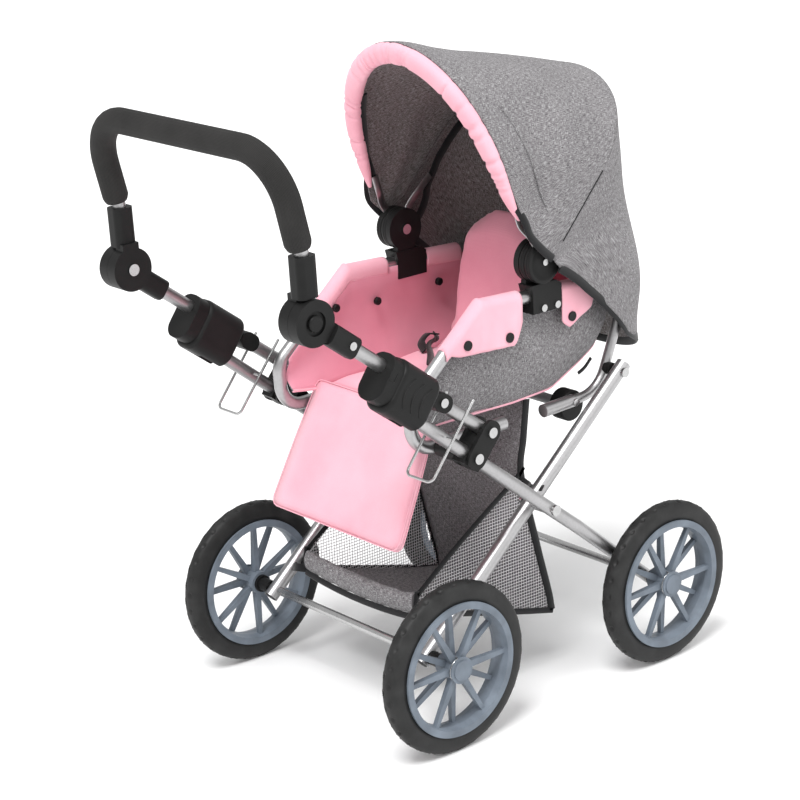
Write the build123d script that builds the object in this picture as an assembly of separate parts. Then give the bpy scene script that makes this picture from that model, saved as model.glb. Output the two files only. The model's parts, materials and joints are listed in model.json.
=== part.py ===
"""A doll stroller: folding scissor frame, swing handle, three-piece hood, seat and basket.

Millimetres, +Z up, +Y the way it is pushed, +X to the pusher's right.
The origin is on the floor, under the middle of the whole stroller.
Points in the side plane are written (y, z), with y counted from the rear axle.
"""
from math import atan2, degrees, hypot
import os

from build123d import *

# ---- driving dimensions ----
WHEEL_R = 80.0
WHEEL_BASE = 272.6
TRACK_HALF = 145.7
TYRE_W = 17.3
RIM_R = 60.7
RIM_W = 21.8
SPOKES = 12
AXLE_R = 4.0
RUN = 0.05                       # radial clearance of every running fit
GAP = 0.35                       # side clearance between parts that move apart
ORIGIN_Y = 93.8                  # middle of the stroller, counted from the rear axle

TUBE_R = 6.25                    # handle tubes, front legs and seat frame
REAR_TUBE_R = 7.0
WALL = 1.0
FRONT_LEG_X = 136.0
FRONT_FOOT_X = 121.0
REAR_LEG_X = 110.4
SEAT_X = 92.4
BOLT_R = 3.0

REAR_AXLE = (0.0, WHEEL_R)
FRONT_AXLE = (WHEEL_BASE, WHEEL_R)
SCISSOR = (132.4, 191.0)
CLAMP_BOLT = (36.1, 267.0)       # bracket's lower bolt, through the front leg
HANDLE_PIVOT = (53.3, 287.0)     # bracket's upper bolt, through the handle tube
HANDLE_JOINT = (-131.4, 425.5)   # disc joint between handle tube and handlebar
GRIP_START = (-133.1, 484.6)
GRIP_TOP = (-153.5, 567.5)
GRIP_X = 129.2
GRIP_R = 11.5
GRIP_BEND = 46.0
HOOD_PIVOT = (161.8, 411.7)
LEG_TOP_BOLT = (250.0, 289.6)
FLAP_HINGE = (46.0, 277.0)

HOOD_STRAIGHT = 100.0             # straight side of a hood arch, from the pivot up
HOOD_CROWN = 18.0                # how much lower than a half circle the arch's crown is
HOOD_LOW = 24.0
HOOD_SKIN = 1.2
HOOD_PANELS = {                  # half width, first angle, last angle
    "hood_rear_panel": (108.5, -36.0, 20.0),
    "hood_mid_panel": (110.1, 20.0, 47.0),
    "hood_front_panel": (111.7, 47.0, 110.0),
}


# ---- helpers ----
def toward(start, end, distance):
    """The side-plane point this far from start on the way to end."""
    span = hypot(end[0] - start[0], end[1] - start[1])
    return tuple(s + (e - s) * distance / span for s, e in zip(start, end))


def spot(x, side_point):
    return (x, side_point[0], side_point[1])


def rod(start, end, radius):
    """A round bar between two points in space."""
    axis = Vector(*end) - Vector(*start)
    face = Plane(origin=start, z_dir=axis) * Circle(radius)
    return extrude(face, axis.length)


def cross_rod(side_point, x_from, x_to, radius):
    return rod(spot(x_from, side_point), spot(x_to, side_point), radius)


def pipe(points, radii, outer, inner=0.0):
    """A bent tube along straight runs and tangent arcs."""
    path = FilletPolyline(*points, radius=radii) if radii else Polyline(*points)
    start = Plane(origin=path @ 0, z_dir=path % 0)
    tube = sweep(start * Circle(outer), path=path)
    return tube - sweep(start * Circle(inner), path=path) if inner else tube


def plate(outline, x_from, x_to):
    """A flat plate whose outline lies in the side plane."""
    face = Plane.YZ * make_face(Polyline(*outline, close=True))
    return Pos(x_from, 0, 0) * extrude(face, x_to - x_from)


def capsule(start, end, radius, x_from, x_to):
    """A plate with round ends about two side-plane points."""
    along = degrees(atan2(end[1] - start[1], end[0] - start[0]))
    middle = ((start[0] + end[0]) / 2, (start[1] + end[1]) / 2)
    length = hypot(end[0] - start[0], end[1] - start[1])
    face = Plane.YZ * Pos(*middle) * Rot(0, 0, along) * SlotCenterToCenter(length, 2 * radius)
    return Pos(x_from, 0, 0) * extrude(face, x_to - x_from)


def flip(shape):
    return mirror(shape, about=Plane.YZ)


def both(shape):
    """The right-hand piece and its mirror image, as separate solids."""
    return Compound(children=[*shape.solids(), *flip(shape).solids()])


def tube_plane(origin_x, origin, direction):
    """A section plane across a tube: local x is across the stroller."""
    return Plane(origin=spot(origin_x, origin), x_dir=(1, 0, 0), z_dir=(0, *direction))


HANDLE_DIR = toward((0, 0), (HANDLE_PIVOT[0] - HANDLE_JOINT[0], HANDLE_PIVOT[1] - HANDLE_JOINT[1]), 1)
LEG_DIR = toward((0, 0), (FRONT_AXLE[0] - CLAMP_BOLT[0], FRONT_AXLE[1] - CLAMP_BOLT[1]), 1)


# ---- wheels ----
def wheel_pieces():
    """Tyre, rim and hub cap about the X axis, with the outer side towards +X."""
    half = TYRE_W / 2
    wall, tread = WHEEL_R - 7, half - 5.5        # where the shoulder starts and ends
    crown = Plane.XZ * make_face(
        Polyline((-half, RIM_R), (-half, wall))
        + ThreePointArc((-half, wall), (-half + 1.9, WHEEL_R - 1.9), (-tread, WHEEL_R))
        + Line((-tread, WHEEL_R), (tread, WHEEL_R))
        + ThreePointArc((tread, WHEEL_R), (half - 1.9, WHEEL_R - 1.9), (half, wall))
        + Polyline((half, wall), (half, RIM_R), (-half, RIM_R))
    )
    tyre = revolve(crown, Axis.X, 360)

    side = RIM_W / 2
    lip = RIM_R + 2.2
    barrel = Plane.XZ * make_face(Polyline(
        (-side, 56.5), (-side, lip), (-half - 0.2, lip), (-half - 0.2, RIM_R), (half + 0.2, RIM_R),
        (half + 0.2, lip), (side, lip), (side, 56.5), (4, 54.5), (-4, 54.5), close=True))
    rim = revolve(barrel, Axis.X, 360)
    hub_r = 11.0
    rim += rod((-12, 0, 0), (9.8, 0, 0), hub_r)
    for index in range(SPOKES):
        lean = 3.6 if index % 2 else -3.6
        spoke = loft([
            Plane(origin=(lean, 0, hub_r - 2), z_dir=(0, 0, 1)) * Rectangle(6.0, 6.4),
            Plane(origin=(lean * 1.3, 0, 55.5), z_dir=(0, 0, 1)) * Rectangle(4.4, 4.2),
        ])
        rim += Rot(index * 360 / SPOKES, 0, 0) * spoke
    rim -= rod((-13, 0, 0), (9, 0, 0), AXLE_R + RUN)

    cap = rod((9.8, 0, 0), (11.4, 0, 0), 12.5) + rod((11.4, 0, 0), (12.6, 0, 0), 9.5)
    return tyre, Compound(children=[*rim.solids(), *cap.solids()])


def wheels():
    tyre, rim = wheel_pieces()
    nodes = {}
    for end, axle in (("front", FRONT_AXLE), ("rear", REAR_AXLE)):
        for side, sign in (("right", 1), ("left", -1)):
            place = Pos(*spot(sign * TRACK_HALF, axle))
            for name, shape in (("tyre", tyre), ("rim", rim)):
                turned = shape if sign > 0 else flip(shape)
                nodes[f"{name}_{end}_{side}"] = place * turned
    return nodes


# ---- folding frame ----
def front_leg():
    """Straight from inside the slider, then leaning in to pass behind the front wheel."""
    top = toward(CLAMP_BOLT, FRONT_AXLE, -102.0)
    bend = toward(CLAMP_BOLT, FRONT_AXLE, 166.0)
    foot = toward(FRONT_AXLE, CLAMP_BOLT, -7.0)
    points = [spot(FRONT_LEG_X, top), spot(FRONT_LEG_X, bend), spot(FRONT_FOOT_X, foot)]
    leg = pipe(points, 60.0, TUBE_R, TUBE_R - WALL)
    leg -= cross_rod(FRONT_AXLE, 100, 160, AXLE_R)
    for bolt in (CLAMP_BOLT, SCISSOR):
        leg -= cross_rod(bolt, 120, 150, BOLT_R)
    return leg


def rear_leg():
    end = toward(REAR_AXLE, SCISSOR, -9.0)
    top = toward(LEG_TOP_BOLT, REAR_AXLE, -9.0)
    leg = pipe([spot(REAR_LEG_X, end), spot(REAR_LEG_X, top)], None, REAR_TUBE_R, REAR_TUBE_R - WALL)
    leg -= cross_rod(REAR_AXLE, 100, 125, AXLE_R)
    leg -= cross_rod(SCISSOR, 100, 125, BOLT_R + RUN)
    return leg - cross_rod(LEG_TOP_BOLT, 100, 125, BOLT_R)


def axle(side_point):
    reach = TRACK_HALF + 8.5
    return cross_rod(side_point, -reach, reach, AXLE_R)


def axle_bush(side_point, x_from):
    """A sleeve that keeps the wheel off the leg, with a wire clip's collar."""
    x_to = TRACK_HALF - 12 - GAP
    sleeve = cross_rod(side_point, x_from, x_to, 6.6) + cross_rod(side_point, x_to - 3, x_to, 8.4)
    return sleeve - cross_rod(side_point, x_from - 1, x_to + 1, AXLE_R)


def scissor_bolt():
    shank = cross_rod(SCISSOR, REAR_LEG_X - 9.6, FRONT_LEG_X + 7.4, BOLT_R)
    head = cross_rod(SCISSOR, FRONT_LEG_X + TUBE_R + 0.1, FRONT_LEG_X + 9.0, 5.2)
    nut = cross_rod(SCISSOR, REAR_LEG_X - 10.6, REAR_LEG_X - REAR_TUBE_R - GAP, 5.0)
    return shank + head + nut


def scissor_spacer():
    washer = cross_rod(SCISSOR, REAR_LEG_X + REAR_TUBE_R + 0.2, FRONT_LEG_X - TUBE_R, 5.6)
    return washer - cross_rod(SCISSOR, 110, 135, BOLT_R)


def leg_top_bolt():
    head = cross_rod(LEG_TOP_BOLT, REAR_LEG_X + REAR_TUBE_R, REAR_LEG_X + REAR_TUBE_R + 2.4, 4.6)
    return head + cross_rod(LEG_TOP_BOLT, REAR_LEG_X - REAR_TUBE_R, REAR_LEG_X + REAR_TUBE_R + 1, BOLT_R)


def frame_bracket():
    """Clamps the front leg between two cheeks that fork around the handle tube's end."""
    outer = FRONT_LEG_X + TUBE_R + GAP
    inner = FRONT_LEG_X - TUBE_R - GAP
    body = capsule(CLAMP_BOLT, HANDLE_PIVOT, 10.5, outer, outer + 4.2)
    body += capsule(CLAMP_BOLT, HANDLE_PIVOT, 10.5, inner - 4.2, inner)
    clamp = tube_plane(FRONT_LEG_X, toward(CLAMP_BOLT, FRONT_AXLE, -11), LEG_DIR)
    body += extrude(clamp * Rectangle(2 * (outer - FRONT_LEG_X + 1), 19.0), 22.0)
    body += cross_rod(CLAMP_BOLT, SEAT_X + TUBE_R, inner - 2, 9.0)
    body -= rod(spot(FRONT_LEG_X, toward(CLAMP_BOLT, FRONT_AXLE, -30)),
                spot(FRONT_LEG_X, toward(CLAMP_BOLT, FRONT_AXLE, 30)), TUBE_R)
    body -= cross_rod(HANDLE_PIVOT, 110, 160, BOLT_R)
    return body - cross_rod(CLAMP_BOLT, 80, 160, BOLT_R)


def bracket_bolts():
    """The clamp bolt runs on into the seat frame; the upper one is the handle's pivot."""
    face = FRONT_LEG_X + TUBE_R + GAP + 4.2
    low = cross_rod(CLAMP_BOLT, SEAT_X - TUBE_R - 1.5, face + 0.5, BOLT_R)
    low += cross_rod(CLAMP_BOLT, face, face + 2.2, 4.8)
    back = FRONT_LEG_X - TUBE_R - GAP - 4.2
    high = cross_rod(HANDLE_PIVOT, back - 1, face + 0.5, BOLT_R)
    high += cross_rod(HANDLE_PIVOT, face, face + 2.2, 4.8) + cross_rod(HANDLE_PIVOT, back - 3, back, 4.8)
    return Compound(children=[*low.solids(), *high.solids()])


# ---- seat frame and supports ----
def seat_frame_path():
    right = [(118.0, 267.0), (8.0, 267.0), (5.0, 311.0), (90.0, 382.0), (285.0, 373.0)]
    points = [spot(SEAT_X, p) for p in right] + [spot(-SEAT_X, p) for p in reversed(right)]
    return points, [24.0, 20.0, 25.0, 38.0, 38.0, 25.0, 20.0, 24.0]


def seat_frame():
    """One bent tube: two side hoops joined by the head-end bow."""
    points, radii = seat_frame_path()
    frame = pipe(points, radii, TUBE_R, TUBE_R - WALL)
    for sign in (1, -1):
        frame -= cross_rod(CLAMP_BOLT, sign * 80, sign * 105, BOLT_R)
    return frame


SUPPORT_START = (168.0, 266.0)
SUPPORT_KNEE = (240.0, 268.0)
SUPPORT_END = (284.0, 369.5)
SUPPORT_R = 4.75
RIVET_AT = (205.0, 267.0)


def seat_support():
    """Carries the head end: a sleeved stub, a knee, and an arm up to the seat frame."""
    points = [spot(SEAT_X, p) for p in (SUPPORT_START, SUPPORT_KNEE, SUPPORT_END)]
    support = pipe(points, 34.0, SUPPORT_R)
    sleeve_end = toward(SUPPORT_START, SUPPORT_KNEE, 38)
    support += rod(spot(SEAT_X, SUPPORT_START), spot(SEAT_X, sleeve_end), 6.2)
    frame_points, radii = seat_frame_path()
    support -= pipe(frame_points, radii, TUBE_R)
    return support - cross_rod(LEG_TOP_BOLT, 80, 104, BOLT_R) - cross_rod(RIVET_AT, 80, 104, 2.0)


def support_rivet():
    head = cross_rod(RIVET_AT, SEAT_X + 6.2, SEAT_X + 7.6, 3.6)
    return head + cross_rod(RIVET_AT, 82.0, SEAT_X + 6.6, 2.0)


def support_spacer():
    """Keeps the rear leg's top off the support arm."""
    spacer = cross_rod(LEG_TOP_BOLT, SEAT_X + 2.0, REAR_LEG_X - REAR_TUBE_R - GAP, 6.0)
    return spacer - seat_support() - cross_rod(LEG_TOP_BOLT, 80, 104, BOLT_R)


KNOB_AT = (214.0, 258.0)


def cross_tube():
    return cross_rod(KNOB_AT, -80, 80, 5.0) - cross_rod(KNOB_AT, -81, 81, 4.0)


def seat_knob():
    knob = cross_rod(KNOB_AT, 68.0, 84.5, 15.0)
    knob = fillet(knob.edges().filter_by(GeomType.CIRCLE), 1.6)
    return knob - cross_rod(KNOB_AT, 60, 80, 5.0) - cross_rod(RIVET_AT, 80, 90, 2.0)


# ---- seat fabric, pad and flaps ----
def seat_shell():
    """Side walls, floor and head wall, open at the top and towards the foot end."""
    half = SEAT_X - TUBE_R - 0.6
    skin = 1.5
    side = [(34, 285), (34, 314), (82, 362), (262, 355), (262, 340), (206, 297), (190, 285)]
    shell = plate(side, half - skin, half) + plate(side, -half, -half + skin)
    floor = [(34, 283.5), (190, 283.5), (207, 296), (262, 339), (262, 341), (206, 298), (189.5, 285.2),
             (34, 285.2)]
    shell += plate(floor, -half, half)
    return shell + plate([(260.5, 339), (262, 340), (262, 355), (260.5, 355.1)], -half, half)


def backrest_pad():
    low, high = (185.0, 290.0), (222.0, 441.0)
    half, thick = 70.0, 12.0
    up = toward((0, 0), (high[0] - low[0], high[1] - low[1]), 1)
    tall = hypot(high[0] - low[0], high[1] - low[1])
    face = Plane(origin=spot(0, low), x_dir=(1, 0, 0), z_dir=(0, -up[1], up[0]))
    outline = face * (Pos(0, (tall - half) / 2) * Rectangle(2 * half, tall - half)
                      + Pos(0, tall - half) * Circle(half))
    return extrude(outline, thick / 2, both=True)


def side_flap():
    outline = [(44, 352), (86, 388), (138, 386), (138, 360), (128, 340), (61, 344)]
    return plate(outline, SEAT_X + TUBE_R + 0.1, SEAT_X + TUBE_R + 1.3)


def small_flap():
    outline = [(187.5, 382), (232, 381), (226, 356), (197, 342), (188, 347)]
    return plate(outline, SEAT_X + TUBE_R + 0.1, SEAT_X + TUBE_R + 1.3)


SNAPS = ((70.0, 353.0), (121.0, 349.0), (200.0, 352.0))


def snap_studs():
    face = SEAT_X + TUBE_R + 1.3
    studs = [cross_rod(at, face, face + 1.6, 4.6) for at in SNAPS]
    return Compound(children=[solid for stud in studs for solid in stud.solids()])


def foot_flap():
    """Stiffened flap over the foot end, wider at its free edge, with a rolled hem at its hinge."""
    down = toward((0, 0), (-12.0 - FLAP_HINGE[0], 180.0 - FLAP_HINGE[1]), 1)
    face = Plane(origin=spot(0, FLAP_HINGE), x_dir=(1, 0, 0), z_dir=(0, -down[1], down[0]))
    outline = Polyline((-84, -2), (84, -2), (84, 56), (92, 66), (92, 100), (76, 116), (-76, 116),
                       (-92, 100), (-92, 66), (-84, 56), close=True)
    return extrude(face * make_face(outline), 1.6, both=True) + cross_rod(FLAP_HINGE, -84, 84, 2.6)


# ---- basket ----
def basket():
    """Sloping floor, low rear lip, tall front wall and three-cornered sides."""
    half, skin = 80.0, 1.6
    floor = [(18, 105), (186, 58), (188, 58), (150, 205), (159, 276), (157.4, 276), (148.4, 205),
             (184.4, 60.2), (19.6, 106.8), (18, 126), (16.4, 126)]
    side = [(16.4, 126), (18, 105), (186, 58), (150, 205), (144, 203)]
    body = plate(floor, -half, half)
    return body + plate(side, half - skin, half) + plate(side, -half, -half + skin)


# ---- hood ----
def arch_outline(half, low):
    crown = EllipticalCenterArc((0, HOOD_STRAIGHT), half, half - HOOD_CROWN, arc_size=180)
    return (Line((half, low), (half, HOOD_STRAIGHT)) + crown
            + Polyline((-half, HOOD_STRAIGHT), (-half, low), (half, low)))


def arch_face(half, thickness, low):
    return make_face(arch_outline(half, low)) - make_face(arch_outline(half - thickness, low - 1))


def pivot_axis():
    return Axis(spot(0, HOOD_PIVOT), (1, 0, 0))


def hood_panel(name):
    half, first, last = HOOD_PANELS[name]
    start = Pos(*spot(0, HOOD_PIVOT)) * Rot(first, 0, 0) * (Plane.XY * arch_face(half, HOOD_SKIN, HOOD_LOW))
    return revolve(start, pivot_axis(), last - first)


def hood_bow(half, angle, depth, hub_from, hub_to):
    """A flat strip arch that runs into a round hub at each end of the pivot line."""
    strip = extrude(arch_face(half, 2.4, 14.0), depth / 2, both=True)
    strip = Pos(*spot(0, HOOD_PIVOT)) * Rot(angle, 0, 0) * strip
    bow = strip
    for sign in (1, -1):
        bow += cross_rod(HOOD_PIVOT, sign * hub_from, sign * hub_to, 20.0)
    for sign in (1, -1):
        bow -= cross_rod(HOOD_PIVOT, sign * (hub_from - 4), sign * (hub_to + 4), BOLT_R + RUN)
    return bow


def hood_binding():
    """The padded edge around the front of the hood."""
    outer = HOOD_PANELS["hood_front_panel"][0]
    ring = arch_face(outer + 1.6, HOOD_SKIN + 6.0, 44.0)
    body = Pos(*spot(0, HOOD_PIVOT)) * Rot(110.2, 0, 0) * ring
    return revolve(body, pivot_axis(), 4.0)


HOOD_SCREWS = ((163.0, 368.0), (180.0, 368.0))


def hood_bracket():
    """Clamps the seat frame and carries the inner disc of the hood's pivot."""
    x_from, x_to = 85.4, 91.6
    body = cross_rod(HOOD_PIVOT, x_from, x_to, 20.0)
    block = plate([(150, 364), (186, 364), (186, 387), (180, 391), (148, 391), (150, 384)], 84.4, 101.6)
    neck = plate([(150, 388), (174, 388), (172, 402), (152, 402)], x_from, x_to)
    block -= rod(spot(SEAT_X, (60.0, 382 + 30 * 9 / 195)), spot(SEAT_X, (285.0, 373.0)), TUBE_R)
    body = block + neck + body
    for at in HOOD_SCREWS:
        body -= cross_rod(at, 90, 103, 1.8)
    return body - cross_rod(HOOD_PIVOT, 80, 95, BOLT_R)


def hood_screws():
    screws = [cross_rod(at, 96, 102, 1.8) + cross_rod(at, 101.6, 103.0, 3.4) for at in HOOD_SCREWS]
    return Compound(children=[solid for screw in screws for solid in screw.solids()])


def hood_pin():
    return cross_rod(HOOD_PIVOT, 84.0, 106.6, BOLT_R) + cross_rod(HOOD_PIVOT, 83.0, 85.4, 5.0)


# ---- handle ----
def handle_tube():
    tube = pipe([spot(FRONT_LEG_X, toward(HANDLE_JOINT, HANDLE_PIVOT, 24)),
                 spot(FRONT_LEG_X, toward(HANDLE_PIVOT, HANDLE_JOINT, -8))], None, TUBE_R, TUBE_R - WALL)
    return tube - cross_rod(HANDLE_PIVOT, 120, 150, BOLT_R + RUN)


DISC_R = 20.0
DISC_SPLIT = 129.2
BUTTON_R = 7.0


def lower_socket():
    """Outer half of the handle's disc joint, with the socket for the handle tube."""
    body = cross_rod(HANDLE_JOINT, DISC_SPLIT + 0.15, 141.1, DISC_R)
    across = tube_plane(FRONT_LEG_X, toward(HANDLE_JOINT, HANDLE_PIVOT, 20.6), HANDLE_DIR)
    arm = extrude(across * RectangleRounded(17.5, 19.5, 6.0), 30.5)
    web_plane = tube_plane(135.3, toward(HANDLE_JOINT, HANDLE_PIVOT, 10), HANDLE_DIR)
    body += arm + extrude(web_plane * Rectangle(11.4, 17.0), 14.0)
    body -= rod(spot(FRONT_LEG_X, toward(HANDLE_JOINT, HANDLE_PIVOT, 24)),
                spot(FRONT_LEG_X, toward(HANDLE_JOINT, HANDLE_PIVOT, 60)), TUBE_R)
    body -= cross_rod(HANDLE_JOINT, 139.0, 142, 10.5)
    body -= cross_rod(HANDLE_JOINT, 130.6, 142, BUTTON_R + RUN)
    return body - cross_rod(HANDLE_JOINT, 128, 132, 4.0)


def joint_pin():
    return cross_rod(HANDLE_JOINT, 116.0, 130.6, 4.0) + cross_rod(HANDLE_JOINT, 115.4, 116.9, 5.4)


def joint_button():
    button = cross_rod(HANDLE_JOINT, 133.6, 142.4, BUTTON_R)
    return fillet(button.edges().sort_by(Axis.X)[-1], 1.6)


def upper_socket():
    """Inner half of the disc joint, with the socket for the handlebar."""
    body = cross_rod(HANDLE_JOINT, 117.1, DISC_SPLIT - 0.15, DISC_R)
    up = toward((0, 0), (GRIP_START[0] - HANDLE_JOINT[0], GRIP_START[1] - HANDLE_JOINT[1]), 1)
    across = tube_plane(GRIP_X, toward(HANDLE_JOINT, GRIP_START, 20.6), up)
    arm = extrude(across * RectangleRounded(18.5, 20.0, 6.0), 35.5)
    web_plane = tube_plane(123.0, toward(HANDLE_JOINT, GRIP_START, 10), up)
    body += arm + extrude(web_plane * Rectangle(11.6, 17.0), 14.0)
    body -= rod(spot(GRIP_X, toward(HANDLE_JOINT, GRIP_START, 24)),
                spot(GRIP_X, toward(HANDLE_JOINT, GRIP_START, 70)), 6.0)
    return body - cross_rod(HANDLE_JOINT, 110, 130, 4.0 + RUN)


def grip_path(start):
    half = [spot(GRIP_X, start), spot(GRIP_X, GRIP_TOP)]
    return half + [spot(-GRIP_X, GRIP_TOP), spot(-GRIP_X, start)]


def handlebar_tube():
    low = toward(HANDLE_JOINT, GRIP_START, 24)
    inner = grip_path(GRIP_START)
    points = [spot(GRIP_X, low), *inner, spot(-GRIP_X, low)]
    return pipe(points, [12.0, GRIP_BEND, GRIP_BEND, 12.0], 6.0, 5.0)


def handle_grip():
    return pipe(grip_path(toward(GRIP_START, GRIP_TOP, 3.0)), [GRIP_BEND, GRIP_BEND], GRIP_R, 6.0)


def socket_screw():
    """Holds the handle tube in its socket."""
    at = toward(HANDLE_JOINT, HANDLE_PIVOT, 43)
    return cross_rod(at, FRONT_LEG_X + 8.75, FRONT_LEG_X + 10.0, 3.6)


def handle_clip():
    """Oval stop on the handle tube, below the slider's travel."""
    at = toward(HANDLE_PIVOT, HANDLE_JOINT, 66)
    body = capsule(toward(at, HANDLE_PIVOT, -3), toward(at, HANDLE_PIVOT, 3), 8.2, FRONT_LEG_X - 8.6,
                   FRONT_LEG_X + 8.6)
    return body - rod(spot(FRONT_LEG_X, toward(at, HANDLE_PIVOT, -30)),
                      spot(FRONT_LEG_X, toward(at, HANDLE_PIVOT, 30)), TUBE_R)


def clip_bolt():
    at = toward(HANDLE_PIVOT, HANDLE_JOINT, 66)
    return cross_rod(at, FRONT_LEG_X + 8.6, FRONT_LEG_X + 10.2, 4.2)


# ---- slider and safety bail ----
SLIDER_LOW = 83.0                # lower face, from the handle's pivot
SLIDER_LONG = 60.0


def slider():
    """Barrel that runs on the handle tube and drops over the front leg's upper end."""
    start = toward(HANDLE_PIVOT, HANDLE_JOINT, SLIDER_LOW)
    up = (-HANDLE_DIR[0], -HANDLE_DIR[1])
    across = Plane(origin=spot(FRONT_LEG_X + 0.8, start), x_dir=(1, 0, 0), z_dir=(0, *up))
    body = extrude(across * Pos(0, -10.5) * RectangleRounded(35.0, 50.0, 14.0), 47.0)
    ends = body.faces().sort_by(Axis((0, 0, 0), tuple(across.z_dir)))
    body = fillet([*ends[0].edges(), *ends[-1].edges()], 4.0)
    collar = Plane(origin=across.origin + across.z_dir * 47.0, x_dir=(1, 0, 0), z_dir=(0, *up))
    body += extrude(collar * Pos(0, -9.5) * RectangleRounded(31.0, 44.0, 13.0), SLIDER_LONG - 47.0)
    body -= rod(spot(FRONT_LEG_X, HANDLE_PIVOT), spot(FRONT_LEG_X, HANDLE_JOINT), TUBE_R + RUN)
    return body - leg_pocket()


def leg_pocket():
    """Room for the front leg's end, open below so that the handle can lift off it."""
    top = toward(CLAMP_BOLT, FRONT_AXLE, -108.0)
    low = toward(CLAMP_BOLT, FRONT_AXLE, -40.0)
    bore = rod(spot(FRONT_LEG_X, top), spot(FRONT_LEG_X, low), TUBE_R + 0.6)
    middle = tube_plane(FRONT_LEG_X, top, LEG_DIR)
    slot = extrude(middle * Pos(0, -20.0 if middle.y_dir.Z > 0 else 20.0) * Rectangle(2 * TUBE_R + 1.2, 40.0),
                   68.0)
    return bore + slot


BAIL_X = 17.0                    # half the wire's width
BAIL_LOW = (-24.0, 262.0)
BAIL_HIGH = (27.0, 325.0)
WIRE_R = 1.3


def bail():
    """Wire latch hinged on the front leg, standing astride both tubes."""
    right, left = FRONT_LEG_X + BAIL_X, FRONT_LEG_X - BAIL_X
    bends = [spot(right, BAIL_HIGH), spot(right, BAIL_LOW), spot(left, BAIL_LOW), spot(left, BAIL_HIGH)]
    wire = pipe(bends, 6.0, WIRE_R)
    pivot = toward(BAIL_LOW, BAIL_HIGH, 42.0)
    for sign, x in ((-1, right), (1, left)):
        wire += cross_rod(pivot, x, x + sign * 8.5, WIRE_R - 0.2)
    return wire


# ---- the whole stroller ----
def paired(name, shape):
    return {f"{name}_right": shape, f"{name}_left": flip(shape)}


def stroller():
    nodes = {}
    nodes |= paired("front_leg", front_leg())
    nodes |= paired("rear_leg", rear_leg())
    nodes["front_axle"] = axle(FRONT_AXLE)
    nodes["rear_axle"] = axle(REAR_AXLE)
    nodes["front_axle_bushes"] = both(axle_bush(FRONT_AXLE, 128.8))
    nodes["rear_axle_bushes"] = both(axle_bush(REAR_AXLE, REAR_LEG_X + REAR_TUBE_R + 0.1))
    nodes["scissor_bolts"] = both(scissor_bolt())
    nodes["scissor_spacers"] = both(scissor_spacer())
    nodes["leg_top_bolts"] = both(leg_top_bolt())
    nodes["frame_brackets"] = both(frame_bracket())
    nodes["bracket_bolts"] = both(bracket_bolts())
    nodes["seat_frame"] = seat_frame()
    nodes["seat_supports"] = both(seat_support())
    nodes["support_rivets"] = both(support_rivet())
    nodes["support_spacers"] = both(support_spacer())
    nodes["cross_tube"] = cross_tube()
    nodes["seat_knobs"] = both(seat_knob())
    nodes["seat_shell"] = seat_shell()
    nodes["backrest_pad"] = backrest_pad()
    nodes["side_flaps"] = both(side_flap())
    nodes["small_flaps"] = both(small_flap())
    nodes["snap_studs"] = both(snap_studs())
    nodes["foot_flap"] = foot_flap()
    nodes["basket"] = basket()
    for name in HOOD_PANELS:
        nodes[name] = hood_panel(name)
    nodes["hood_mid_bow"] = hood_bow(98.5, 46.0, 7.0, 91.9, 98.6)
    nodes["hood_front_bow"] = hood_bow(104.0, 108.0, 7.0, 98.9, 105.6)
    nodes["hood_binding"] = hood_binding()
    nodes["hood_brackets"] = both(hood_bracket())
    nodes["hood_screws"] = both(hood_screws())
    nodes["hood_pins"] = both(hood_pin())
    nodes |= paired("handle_tube", handle_tube())
    nodes["lower_sockets"] = both(lower_socket())
    nodes["socket_screws"] = both(socket_screw())
    nodes["joint_pins"] = both(joint_pin())
    nodes["handle_clips"] = both(handle_clip())
    nodes["clip_bolts"] = both(clip_bolt())
    nodes |= paired("joint_button", joint_button())
    nodes["upper_sockets"] = both(upper_socket())
    nodes["handlebar_tube"] = handlebar_tube()
    nodes["handle_grip"] = handle_grip()
    nodes |= paired("slider", slider())
    nodes |= paired("bail", bail())
    return nodes | wheels()


os.makedirs("parts", exist_ok=True)
for node_name, node_shape in stroller().items():
    export_step(Pos(0, -ORIGIN_Y, 0) * node_shape, f"parts/{node_name}.step")
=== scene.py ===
"""Looks of the doll stroller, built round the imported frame.

Lengths are written in millimetres, with y counted from the rear axle, and place() turns them into metres.
"""
import json
import math
import random

import bmesh
import bpy
import numpy as np
from mathutils import Matrix, Vector


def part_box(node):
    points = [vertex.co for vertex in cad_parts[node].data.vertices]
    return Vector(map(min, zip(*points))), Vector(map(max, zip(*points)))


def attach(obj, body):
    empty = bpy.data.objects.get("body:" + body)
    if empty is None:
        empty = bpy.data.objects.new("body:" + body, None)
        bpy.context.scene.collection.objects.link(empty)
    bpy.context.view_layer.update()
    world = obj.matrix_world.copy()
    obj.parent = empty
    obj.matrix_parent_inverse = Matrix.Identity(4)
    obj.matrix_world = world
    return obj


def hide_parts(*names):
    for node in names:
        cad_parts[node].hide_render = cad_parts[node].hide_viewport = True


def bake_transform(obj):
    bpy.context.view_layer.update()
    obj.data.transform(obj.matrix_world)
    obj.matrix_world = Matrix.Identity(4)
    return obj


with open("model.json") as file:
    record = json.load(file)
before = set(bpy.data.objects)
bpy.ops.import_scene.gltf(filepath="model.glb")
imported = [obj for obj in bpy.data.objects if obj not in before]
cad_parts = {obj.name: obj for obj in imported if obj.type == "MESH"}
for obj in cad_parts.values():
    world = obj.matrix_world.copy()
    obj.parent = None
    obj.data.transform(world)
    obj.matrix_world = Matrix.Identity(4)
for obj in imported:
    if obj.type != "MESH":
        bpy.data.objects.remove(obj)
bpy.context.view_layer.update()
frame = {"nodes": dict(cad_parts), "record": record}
draws = random.Random(11)

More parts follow.
